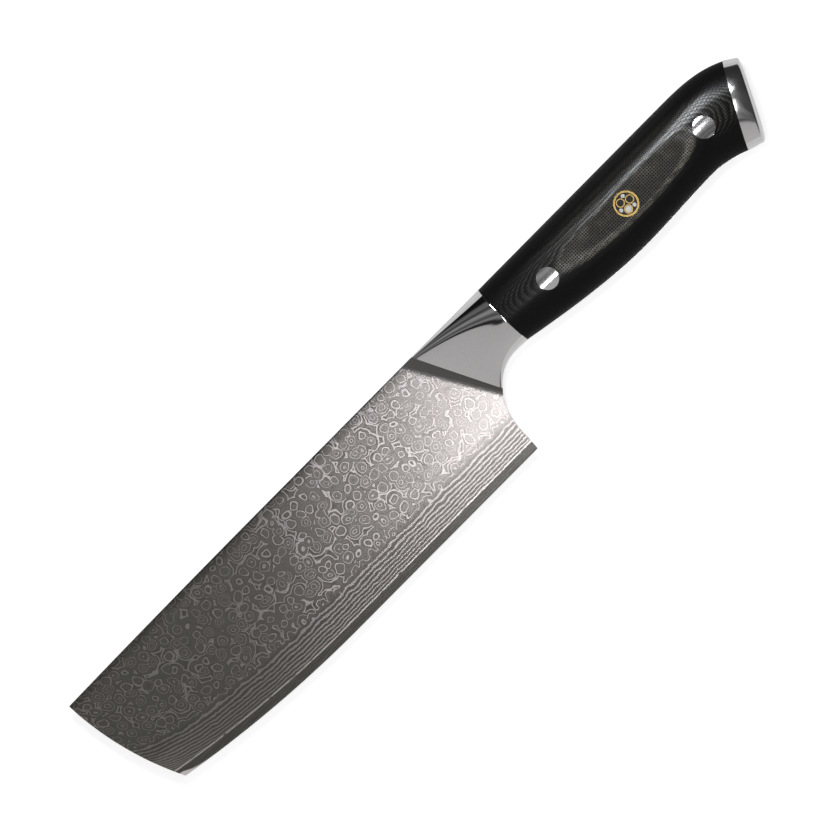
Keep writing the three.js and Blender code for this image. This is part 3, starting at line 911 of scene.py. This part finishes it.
def pin_metal(name, tint):
    """Flush-ground metal with fine scratches one way."""
    finish = Finish(name, Metallic=1.0)
    scratch = finish.place().vector("MULTIPLY", (9.0, 0.8, 1.0)).noise(1.0, 4.0, 0.65)
    finish.set(
        Base_Color=scratch.part(0.25, 0.75).between(shaded(tint, 0.6), tint),
        Roughness=scratch.part(0.2, 0.8, 0.18, 0.34),
    )
    return finish.material


def black_resin(looks):
    """Cast black resin, polished flush, with a few dull specks."""
    finish = Finish("black_resin", IOR=1.5, Specular_IOR_Level=0.12)
    specks = finish.place().noise(4.0, 4.0, 0.7)
    finish.set(
        Base_Color=specks.part(0.45, 0.8).between(looks.resin, shaded(looks.resin, 4)),
        Roughness=specks.part(0.3, 0.7, 0.12, 0.3),
    )
    return finish.material


def floor_white(stage):
    """Pale floor that the camera and reflections see as white, with the knife's shadow kept."""
    finish = Finish("floor_white", Base_Color=stage.floor, Roughness=0.9, Specular_IOR_Level=0.0)
    path = finish.wire.node("ShaderNodeLightPath", {}, {}, output="Is Camera Ray")
    bounced = path.other("Is Glossy Ray").math("MAXIMUM", path.other("Is Transmission Ray"))
    seen = path.math("MAXIMUM", bounced * 0.58)
    finish.set(Emission_Color=seen.between((0, 0, 0), (1, 1, 1)), Emission_Strength=stage.glow)
    return finish.material


def studio_world(stage):
    """Light by its bearing.

    A pale card lies towards the view's bottom, dark cloth with three grey reflectors towards its top, and
    a white rim along the floor.
    """
    world = bpy.data.worlds.new("studio")
    world.use_nodes = True
    wire = Wire(world.node_tree)
    way = wire.node("ShaderNodeTexCoord", {}, {}, output="Generated")
    bottom = -math.sin(stage.turn), -math.cos(stage.turn), 0
    edge = (1 + math.sin(stage.card_angle)) / 2
    x, _, height = way.axes()
    cloth = (way.along(bottom) * 0.5 + 0.5 - x.part(0.0, 0.25, 0.0, 0.09)).ramp((
        (0.0, 0.01), (0.29, 0.01), (0.33, 0.16), (0.39, 0.2), (0.42, 0.07), (0.45, 0.09), (0.48, 0.36),
        (0.51, 0.34), (0.54, 0.12), (0.56, 0.1), (0.575, 0.3), (0.588, 0.26), (0.598, 0.02),
        (edge - 0.003, 0.01), (edge + 0.003, stage.card), (1.0, 1.25 * stage.card),
    ))
    fade = x.part(0.07, 0.2, 1.0, 0.2)
    light = height.part(0.31, 0.23).between(cloth * fade + (1 - fade) * 0.05, (0.9, 0.9, 0.9))
    background = next(node for node in world.node_tree.nodes if node.type == "BACKGROUND")
    world.node_tree.links.new(light.socket, background.inputs["Color"])
    background.inputs["Strength"].default_value = 1.0
    return world


# Pieces
class KNIFE_OT_blade(Operator):
    """Makes the laminated blade: a hard core between two pattern-steel claddings"""

    bl_idname = "knife.blade"
    bl_label = "Blade"
    bl_options = {"REGISTER", "UNDO"}

    def execute(self, context):
        knife = context.scene.knife
        sizes = knife.mesh
        # Rows climb the bevel, then the face to the weld's lower end, then on to the eased spine
        face_height = BLADE_DEPTH - BEVEL_LEVEL
        corner = 1 - WELD_DEPTH / face_height
        below_spine = 1 - SPINE_EASE / face_height
        bevel = np.linspace(BARE_LEVEL, BEVEL_LEVEL, sizes.bevel_rows + 1)
        lower = np.linspace(0, corner, sizes.face_rows + 1)[1:]
        upper = np.linspace(corner, below_spine, sizes.face_rows + 1)[1:]
        parts = np.concatenate((0 * bevel, lower, upper, (1,)))
        levels = np.full_like(parts, BEVEL_LEVEL)
        levels[: len(bevel)] = bevel
        x, y = blade_lattice(levels, parts, sizes.blade_columns)
        high = clad_half(x, y - edge_y(x)) - SPINE_EASE * (parts == 1)[:, None]
        high = high.ravel()
        quads = grid_quads(numbered(*x.shape))
        points, faces = two_sheets(x.ravel(), y.ravel(), 0 * high + CLADDING_INNER, high, quads)
        steel = pattern_steel(knife.blade)
        names, nodes = ("laminate_left", "laminate_right"), ("cladding_left", "cladding_right")
        make_pair(names, points, faces, steel, nodes, self.cut(x, y))
        # The core has the same rows above the strip that the bevel lays bare
        strip = np.linspace(0, BARE_LEVEL, sizes.strip_rows + 1)
        levels = np.concatenate((strip, levels[1:]))
        parts = np.concatenate((0 * strip, parts[1:]))
        x, y = blade_lattice(levels, parts, sizes.blade_columns)
        wedge, hone = core_halves(x, y - edge_y(x))
        high = np.minimum(wedge, hone).ravel()
        points, faces = two_sheets(x.ravel(), y.ravel(), -high, high, grid_quads(numbered(*x.shape)))
        near_tip = smooth((TIP_X + TIP_RAKE + TIP_HONE_REACH - x) / TIP_HONE_REACH)
        cut = np.tile(np.stack((wedge - hone, near_tip), axis=-1).reshape(-1, 2), (2, 1))
        make_piece("laminate_core", points, faces, core_steel(knife.blade), ["blade_core"], cut)
        return {"FINISHED"}

    @staticmethod
    def cut(x, y):
        """The pattern's level, which swings down behind the tip, and the true level, on two sheets."""
        level = y - edge_y(x)
        swung = level - TIP_SWING * np.exp(-np.maximum(0, x - tip_x(y)) / TIP_SWING_REACH)
        return np.tile(np.stack((swung, level), axis=-1).reshape(-1, 2), (2, 1))


class KNIFE_OT_forging(Operator):
    """Makes the forging: the polished bolster with its etched plunge, and the tang between the scales"""

    bl_idname = "knife.forging"
    bl_label = "Bolster and tang"
    bl_options = {"REGISTER", "UNDO"}

    def execute(self, context):
        knife = context.scene.knife
        sizes = knife.mesh
        # Half widths climb the plunge as a square and the flare as a parabola, and ease down at the joint
        rise = np.linspace(0, 1, sizes.plunge_rings + 1)
        full = 1 - JOINT_EASE_SHARE
        eased = np.linspace(full, 1, sizes.ease_rings + 1)[1:]
        swell = np.concatenate((np.linspace(0, full, sizes.flare_rings + 1)[1:], eased))
        border_top = WELD_TOP_X + PLUNGE_TOP
        border_bottom = WELD_BOTTOM_X + PLUNGE_BOTTOM
        top_x = np.concatenate((lerp(WELD_TOP_X, border_top, rise), lerp(border_top, 0, swell)))
        bottom_x = np.concatenate((lerp(WELD_BOTTOM_X, border_bottom, rise), lerp(border_bottom, 0, swell)))
        climb = lerp(BLADE_HALF, BORDER_HALF, rise**2)
        flare = lerp(BORDER_HALF, SHOULDER_HALF, swell * lerp(FLARE_RISE, 1, swell))
        flare -= JOINT_EASE * (np.maximum(0, swell - full) / JOINT_EASE_SHARE) ** 2
        easing = lerp(WELD_ROUNDNESS, BORDER_ROUNDNESS, rise)
        turning = 1 / lerp(1 / BORDER_ROUNDNESS, 1 / ROUNDNESS, swell**FLARE_TURN)
        rings = section_rings(
            (top_x, 0 * top_x), (bottom_x, notch_y(bottom_x)), np.concatenate((climb, flare)),
            np.concatenate((easing, turning)), sizes.turn_cells,
        )
        points, faces = closed_loft(rings)
        holes = [(FRONT_RIVET, SHANK_RADIUS), (MOSAIC_PIN, mosaic_radii()[0]), (REAR_RIVET, SHANK_RADIUS)]
        along, drop, quads = holed_lattice(TANG_HALF, holes, sizes)
        x, y, _ = grip_surface(along, drop)
        plate, plate_faces = two_sheets(x, y, 0 * x - TANG_HALF, 0 * x + TANG_HALF, quads)
        steel = polished_steel("bolster_steel", knife.metal, knife.metal.steel_roughness)
        piece = make_piece(
            "forged_bolster", np.concatenate((points, plate)),
            np.concatenate((faces, plate_faces + len(points))),
            steel, ["bolster_tang"], crease=24,
        )
        piece.data.materials.append(etched_steel(knife.blade))
        self.etch_plunge(piece.data)
        return {"FINISHED"}

    @staticmethod
    def etch_plunge(mesh):
        """Gives the etched finish to the faces between the weld and the border of the polish."""
        middles = np.empty(3 * len(mesh.polygons))
        mesh.polygons.foreach_get("center", middles)
        x, y, _ = (middles.reshape(-1, 3) / MM - ORIGIN).T
        bottom_x = WELD_BOTTOM_X + PLUNGE_BOTTOM
        border = lerp(WELD_TOP_X + PLUNGE_TOP, bottom_x, y / notch_y(bottom_x))
        mesh.polygons.foreach_set("material_index", (x < border).astype(np.int32))


class KNIFE_OT_scales(Operator):
    """Makes the two laminate scales with their drilled holes"""

    bl_idname = "knife.scales"
    bl_label = "Scales"
    bl_options = {"REGISTER", "UNDO"}

    def execute(self, context):
        knife = context.scene.knife
        head = HEAD_RADIUS + FIT_GAP
        holes = [(FRONT_RIVET, head), (MOSAIC_PIN, mosaic_radii()[0] + FIT_GAP), (REAR_RIVET, head)]
        along, drop, quads = holed_lattice(SCALE_INNER, holes, knife.mesh)
        x, y, z = grip_surface(along, drop)
        points, faces = two_sheets(x, y, 0 * z + SCALE_INNER, np.maximum(z, SCALE_INNER), quads)
        laminate = black_laminate(knife.grip)
        names, nodes = ("left_scale", "right_scale"), ("scale_left", "scale_right")
        make_pair(names, points, faces, laminate, nodes)
        return {"FINISHED"}


class KNIFE_OT_cap(Operator):
    """Makes the polished cap on the butt"""

    bl_idname = "knife.cap"
    bl_label = "End cap"
    bl_options = {"REGISTER", "UNDO"}

    def execute(self, context):
        knife = context.scene.knife
        # Rings go straight out from the joint, then turn in over a quarter of an ellipse
        bend = np.linspace(0, 1 - CAP_EDGE_SHARE, knife.mesh.cap_rings, endpoint=False)
        turn = np.linspace(0, np.pi / 2, knife.mesh.cap_rings + 1)
        part = np.concatenate((bend, 1 - CAP_EDGE_SHARE * (1 - np.sin(turn))))
        cut = np.concatenate((0 * bend, 1 - np.cos(turn)))
        top = [JOINT_TOP[axis] + CAP_TOP[axis] * part for axis in (0, 1)]
        bottom = [JOINT_BOTTOM[axis] + CAP_BOTTOM[axis] * part for axis in (0, 1)]
        height = np.hypot(top[0] - bottom[0], top[1] - bottom[1])
        drawn_top = [lerp(a, b, CAP_EDGE_TOP * cut / height) for a, b in zip(top, bottom)]
        drawn_bottom = [lerp(b, a, CAP_EDGE_BOTTOM * cut / height) for a, b in zip(top, bottom)]
        half = side_z(JOINT_REACH) - CAP_SIDE_FALL * part * lerp(CAP_FALL_START, 1, part)
        half = half - CAP_EDGE_SIDE * cut
        rings = section_rings(drawn_top, drawn_bottom, half, 0 * cut + ROUNDNESS, knife.mesh.turn_cells)
        points, faces = closed_loft(rings + (WELD_GAP - CAP_INSET, 0, 0))
        steel = polished_steel("cap_steel", knife.metal, 2 * knife.metal.steel_roughness)
        make_piece("butt_cap", points, faces, steel, ["end_cap"], crease=24)
        return {"FINISHED"}


class KNIFE_OT_rivets(Operator):
    """Makes the two compression rivets, each of two halves with a slightly crowned head"""

    bl_idname = "knife.rivets"
    bl_label = "Rivets"
    bl_options = {"REGISTER", "UNDO"}

    def execute(self, context):
        knife = context.scene.knife
        steel = polished_steel("rivet_steel", knife.metal, knife.metal.rivet_roughness)
        # The profile goes over the head's face to its rim, under the head, and down the shank
        rim = HEAD_RADIUS - PIN_EASE
        face = np.linspace(0, 1, HEAD_RINGS + 1)
        radii = (*face * rim, HEAD_RADIUS, HEAD_RADIUS, SHANK_RADIUS, SHANK_RADIUS, 0)
        ends = [(1, 0)] * len(face) + [(1, -PIN_EASE), (0, HEAD_SEAT), (0, HEAD_SEAT), (0, 0), (0, 0)]
        for name, place in (("front", FRONT_RIVET), ("rear", REAR_RIVET)):
            points, faces = flush_pin(place, radii, ends, knife.mesh.pin_cells, crown=HEAD_CROWN)
            names = f"{name}_rivet_left", f"{name}_rivet_right"
            nodes = f"{name}_rivet_female", f"{name}_rivet_male"
            make_pair(names, points, faces, steel, nodes)
        return {"FINISHED"}


def mosaic_radii():
    """Outer radius of the mosaic pin, the circle of its small tubes, and the radius and circle of its rods.

    The small tubes clear each other and the bore by a film of resin, and each rod is the largest that
    leaves that film to two tubes and the bore.
    """
    circle = (INNER_RADIUS + RESIN_FILM / 2) / math.sin(math.pi / MOSAIC_COUNT)
    bore = circle + INNER_RADIUS + RESIN_FILM
    room = bore - RESIN_FILM
    stand = INNER_RADIUS + RESIN_FILM
    reach = 2 * circle * math.cos(math.pi / MOSAIC_COUNT)
    rod = (room**2 + circle**2 - stand**2 - reach * room) / (2 * room - reach + 2 * stand)
    return bore + MOSAIC_WALL, circle, rod, room - rod


class KNIFE_OT_mosaic(Operator):
    """Makes the mosaic pin: a brass tube filled with small tubes and rods in black resin"""

    bl_idname = "knife.mosaic"
    bl_label = "Mosaic pin"
    bl_options = {"REGISTER", "UNDO"}

    def execute(self, context):
        knife = context.scene.knife
        outer, tube_circle, rod_radius, rod_circle = mosaic_radii()
        brass = pin_metal("brass", knife.metal.brass)
        silver = pin_metal("nickel_silver", knife.metal.silver)
        resin = black_resin(knife.metal)
        cells = knife.mesh.pin_cells
        self.tube("pin_tube", MOSAIC_PIN, outer, MOSAIC_WALL, brass, "mosaic_pin_tube", cells)
        for number in range(1, MOSAIC_COUNT + 1):
            turn = MOSAIC_TURN + 2 * math.pi * (number - 1) / MOSAIC_COUNT
            place = self.on_circle(tube_circle, turn)
            core = INNER_RADIUS - INNER_WALL - CAST_GAP
            # One core is nickel silver where the resin shows a highlight: a painted highlight
            filling, slot = (silver, "nickel_silver") if number == GLINT_CORE else (resin, "black_resin")
            node = f"mosaic_inner_tube_{number}"
            self.tube(f"pin_inner_tube_{number}", place, INNER_RADIUS, INNER_WALL, brass, node, cells)
            self.rod(f"pin_core_{number}", place, core, filling, slot, f"mosaic_inner_core_{number}", cells)
            place = self.on_circle(rod_circle, turn + math.pi / MOSAIC_COUNT)
            node = f"mosaic_rod_{number}"
            self.rod(f"pin_rod_{number}", place, rod_radius, silver, "nickel_silver", node, cells)
        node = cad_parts["mosaic_resin"]
        node.data.materials.clear()
        node.data.materials.append(resin)
        return {"FINISHED"}

    @staticmethod
    def on_circle(radius, turn):
        """A place round the middle of the pin."""
        return MOSAIC_PIN[0] + radius * math.cos(turn), MOSAIC_PIN[1] + radius * math.sin(turn)

    @staticmethod
    def tube(name, place, radius, wall, material, node, cells):
        """A tube from side to side of the grip, with eased edges."""
        inner = radius - wall
        rims = (inner, inner + PIN_EASE, radius - PIN_EASE, radius)
        low = [(-1, PIN_EASE), (-1, 0), (-1, 0), (-1, PIN_EASE)]
        high = [(-factor, -offset) for factor, offset in low]
        points, faces = flush_pin(place, (*rims, *rims[::-1]), low + high, cells, closed=True)
        make_piece(name, points, faces, material, [node])

    @staticmethod
    def rod(name, place, radius, material, slot, node, cells):
        """A rod from side to side of the grip, with eased edges."""
        rim = radius - PIN_EASE
        radii = (0, 0.5 * rim, rim, radius, radius, rim, 0.5 * rim, 0)
        ends = [(-1, 0), (-1, 0), (-1, 0), (-1, PIN_EASE), (1, -PIN_EASE), (1, 0), (1, 0), (1, 0)]
        points, faces = flush_pin(place, radii, ends, cells)
        make_piece(name, points, faces, material, [node])


class KNIFE_OT_stage(Operator):
    """Makes the pale floor, the studio lamps and a camera that looks down on the knife's left side"""

    bl_idname = "knife.stage"
    bl_label = "Stage"
    bl_options = {"REGISTER", "UNDO"}

    def execute(self, context):
        stage = context.scene.knife.stage
        scene = context.scene
        mesh = bpy.data.meshes.new("floor")
        corners = FLOOR_REACH * np.array(((-1, -1, 0), (1, -1, 0), (1, 1, 0), (-1, 1, 0)))
        mesh.from_pydata(corners.tolist(), [], [(0, 1, 2, 3)])
        mesh.materials.append(floor_white(stage))
        floor = bpy.data.objects.new("floor", mesh)
        scene.collection.objects.link(floor)
        scene.camera = self.camera(scene, stage)
        key = self.lamp(scene, "key_strip", stage.key_power, stage.key_tint, KEY_SIZE, KEY_SPOT)
        key.rotation_euler.z = stage.key_turn
        self.lamp(scene, "softbox", stage.softbox_power, stage.softbox_tint, SOFTBOX_SIZE, SOFTBOX_SPOT)
        scene.world = studio_world(stage)
        scene.view_settings.view_transform = "Standard"
        return {"FINISHED"}

    @staticmethod
    def camera(scene, stage):
        """A long lens above the middle of the view, leant to the butt and turned about its line of sight."""
        data = bpy.data.cameras.new("camera")
        data.lens = stage.lens
        camera = bpy.data.objects.new("camera", data)
        turn, lean = stage.turn, stage.lean
        along = np.array((math.cos(lean), 0, -math.sin(lean)))
        back = np.array((math.sin(lean), 0, math.cos(lean)))
        across = np.array((0, 1, 0))
        right = math.cos(turn) * along - math.sin(turn) * across
        up = math.sin(turn) * along + math.cos(turn) * across
        distance = stage.across * stage.lens / data.sensor_width
        spot = (ORIGIN + VIEW_CENTRE) * MM + distance * back
        camera.matrix_world = Matrix(np.column_stack((right, up, back, spot)).tolist()).to_4x4()
        scene.collection.objects.link(camera)
        return camera

    @staticmethod
    def lamp(scene, name, power, tint, size, spot):
        """A rectangular lamp that faces straight down from a spot of the working frame."""
        data = bpy.data.lights.new(name, "AREA")
        data.shape = "RECTANGLE"
        data.energy = power
        data.color = tint
        data.size, data.size_y = size
        lamp = bpy.data.objects.new(name, data)
        lamp.location = (ORIGIN + spot) * MM
        lamp.visible_camera = False
        scene.collection.objects.link(lamp)
        return lamp


PIECES = (
    KNIFE_OT_blade, KNIFE_OT_forging, KNIFE_OT_scales, KNIFE_OT_cap, KNIFE_OT_rivets, KNIFE_OT_mosaic,
    KNIFE_OT_stage,
)


class KNIFE_PT_panel(Panel):
    """Lists the pieces of the knife and their settings"""

    bl_label = "Nakiri Knife"
    bl_idname = "KNIFE_PT_panel"
    bl_space_type = "VIEW_3D"
    bl_region_type = "UI"
    bl_category = "Knife"

    def draw(self, context):
        knife = context.scene.knife
        for piece in PIECES:
            self.layout.operator(piece.bl_idname)
        for group in (knife.blade, knife.grip, knife.metal, knife.mesh, knife.stage):
            box = self.layout.box()
            for name in group.__annotations__:
                box.prop(group, name)


CLASSES = (
    BladeLooks, GripLooks, MetalLooks, MeshSizes, StageLooks, KnifeSettings, *PIECES, KNIFE_PT_panel,
)


def register():
    """Makes the classes and the scene's settings known."""
    for cls in CLASSES:
        bpy.utils.register_class(cls)
    bpy.types.Scene.knife = PointerProperty(type=KnifeSettings)


def unregister():
    """Takes them away again."""
    del bpy.types.Scene.knife
    for cls in reversed(CLASSES):
        bpy.utils.unregister_class(cls)


def main():
    """Makes every piece and the stage."""
    register()
    bpy.ops.knife.blade()
    bpy.ops.knife.forging()
    bpy.ops.knife.scales()
    bpy.ops.knife.cap()
    bpy.ops.knife.rivets()
    bpy.ops.knife.mosaic()
    bpy.ops.knife.stage()


if __name__ == "__main__":
    main()
